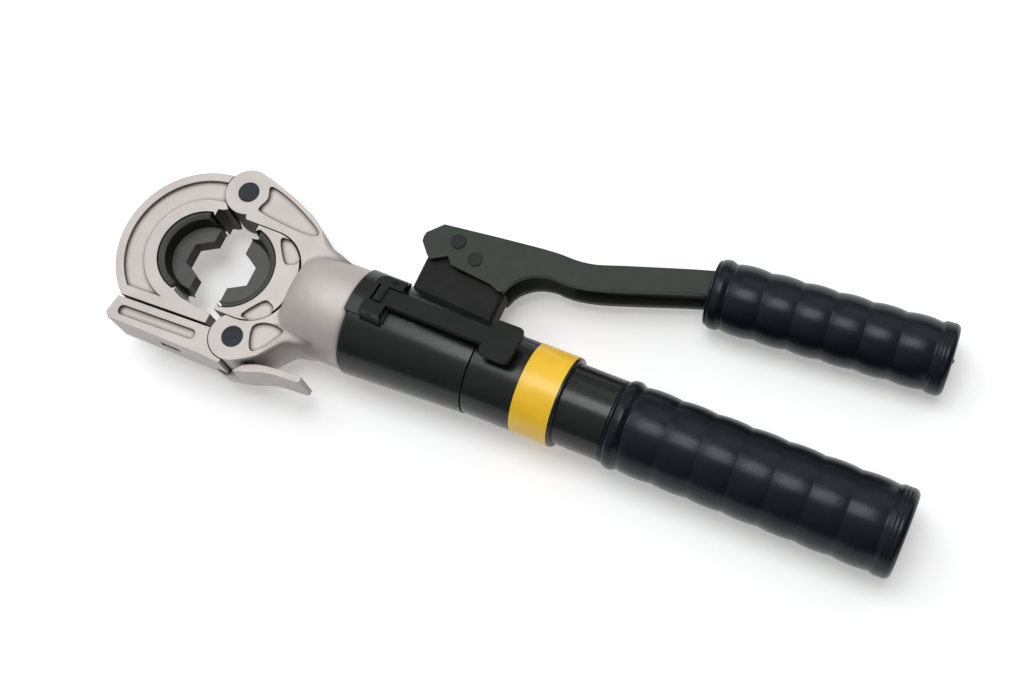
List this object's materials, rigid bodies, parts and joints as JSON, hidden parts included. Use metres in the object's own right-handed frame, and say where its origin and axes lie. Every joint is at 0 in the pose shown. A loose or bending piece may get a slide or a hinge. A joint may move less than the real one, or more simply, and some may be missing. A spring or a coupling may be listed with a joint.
{
  "type": "hydraulic hand crimping tool",
  "caption": "Hand-worked hydraulic crimping tool: open hinged head with two half-round dies, black pump body with a rubber grip and a pump lever beside it",
  "frame": {"origin": "centre of the swing jaw's die seat, on the tool's axis, in the mid plane of the head, where the closed dies meet", "axes": "+X along the tool from the head to the end of the main grip; +Y across, towards the pump lever; +Z out of the head's flat face, up when the tool lies down"},
  "size_m": [0.3938, 0.1462, 0.0577],
  "materials": {
    "satin_nickel": "satin nickel plate over a forging, fine even grain",
    "blued_pin": "blue-black oxide, ground flat",
    "die_steel": "dark phosphate on hardened steel",
    "bright_steel": "ground bright steel",
    "dark_steel": "black oxide steel",
    "seal_rubber": "smooth black rubber",
    "black_paint": "satin black coat over turned steel",
    "olive_paint": "matt olive-grey phosphate",
    "grip_rubber": "soft blue-black rubber with low swells",
    "yellow_film": "plain yellow film",
    "brass": "turned brass"
  },
  "bodies": {
    "pump_body": {"pump_housing": "black_paint", "swivel_ring": "dark_steel", "swivel_seal": "seal_rubber", "check_balls": "bright_steel", "delivery_spring": "bright_steel", "suction_spring": "bright_steel", "check_seats": "brass", "pump_block": "black_paint", "plunger_seal": "seal_rubber", "plunger_spring": "dark_steel", "release_saddle": "black_paint", "saddle_screw": "dark_steel", "pivot_pin": "dark_steel", "release_spring": "dark_steel", "reservoir_tube": "black_paint", "yellow_band": "yellow_film", "oil_bladder": "seal_rubber", "bladder_clamp": "bright_steel", "tube_plug": "dark_steel", "main_grip": "grip_rubber"},
    "head": {"head_body": "satin_nickel", "hinge_pin": "blued_pin", "latch_pin": "blued_pin", "rod_seal": "seal_rubber", "latch_spring": "dark_steel", "ram_spring": "dark_steel"},
    "jaw": {"swing_jaw": "satin_nickel", "jaw_die": "die_steel", "jaw_die_stud": "bright_steel"},
    "latch_arm": {"latch": "satin_nickel"},
    "ram": {"die_holder": "satin_nickel", "ram_die": "die_steel", "ram_die_stud": "bright_steel", "holder_screw": "dark_steel", "ram_piston": "bright_steel", "piston_seal": "seal_rubber"},
    "lever": {"lever_cheek_front": "olive_paint", "lever_cheek_rear": "olive_paint", "fulcrum_pin": "dark_steel", "plunger_pin": "dark_steel", "lever_core": "olive_paint", "lever_grip": "grip_rubber"},
    "plunger": {"pump_plunger": "bright_steel"},
    "release": {"release_lever": "olive_paint"},
    "release_valve": {"release_pin": "bright_steel"}
  },
  "joints": [
    {"name": "head_swivel", "type": "hinge", "parent": "pump_body", "child": "head", "pos_m": [0.0867, 0, 0], "axis": [1, 0, 0], "range_deg": [-90, 90]},
    {"name": "jaw_swing", "type": "hinge", "parent": "head", "child": "jaw", "pos_m": [0.0073, 0.0372, 0], "axis": [0, 0, -1], "range_deg": [0, 85]},
    {"name": "latch_turn", "type": "hinge", "parent": "head", "child": "latch_arm", "pos_m": [0.0355, -0.0323, 0], "axis": [0, 0, 1], "range_deg": [0, 10], "stiffness_Nm_per_rad": 3, "deforming": ["latch_spring"]},
    {"name": "ram_slide", "type": "slide", "parent": "head", "child": "ram", "axis": [-1, 0, 0], "range_m": [0, 0.0171], "stiffness_N_per_m": 2000, "deforming": ["ram_spring"]},
    {"name": "lever_swing", "type": "hinge", "parent": "pump_body", "child": "lever", "pos_m": [0.1149, 0.0512, 0], "axis": [0, 0, 1], "range_deg": [-6, 30]},
    {"name": "plunger_slide", "type": "slide", "parent": "pump_body", "child": "plunger", "axis": [0, 1, 0], "range_m": [-0.0012, 0.006], "deforming": ["plunger_spring"]},
    {"name": "release_turn", "type": "hinge", "parent": "pump_body", "child": "release", "pos_m": [0.099, 0.00797, 0.0269], "axis": [0, 0.9588, -0.284], "range_deg": [0, 4]},
    {"name": "release_slide", "type": "slide", "parent": "pump_body", "child": "release_valve", "axis": [0, -0.284, -0.9588], "range_m": [0, 0.00119], "stiffness_N_per_m": 12000, "deforming": ["release_spring"]}
  ],
  "couplings": [
    {"joint": "plunger_slide", "follows": "lever_swing", "m_per_rad": 0.0114},
    {"joint": "release_turn", "follows": "release_slide", "rad_per_m": 58.82}
  ]
}
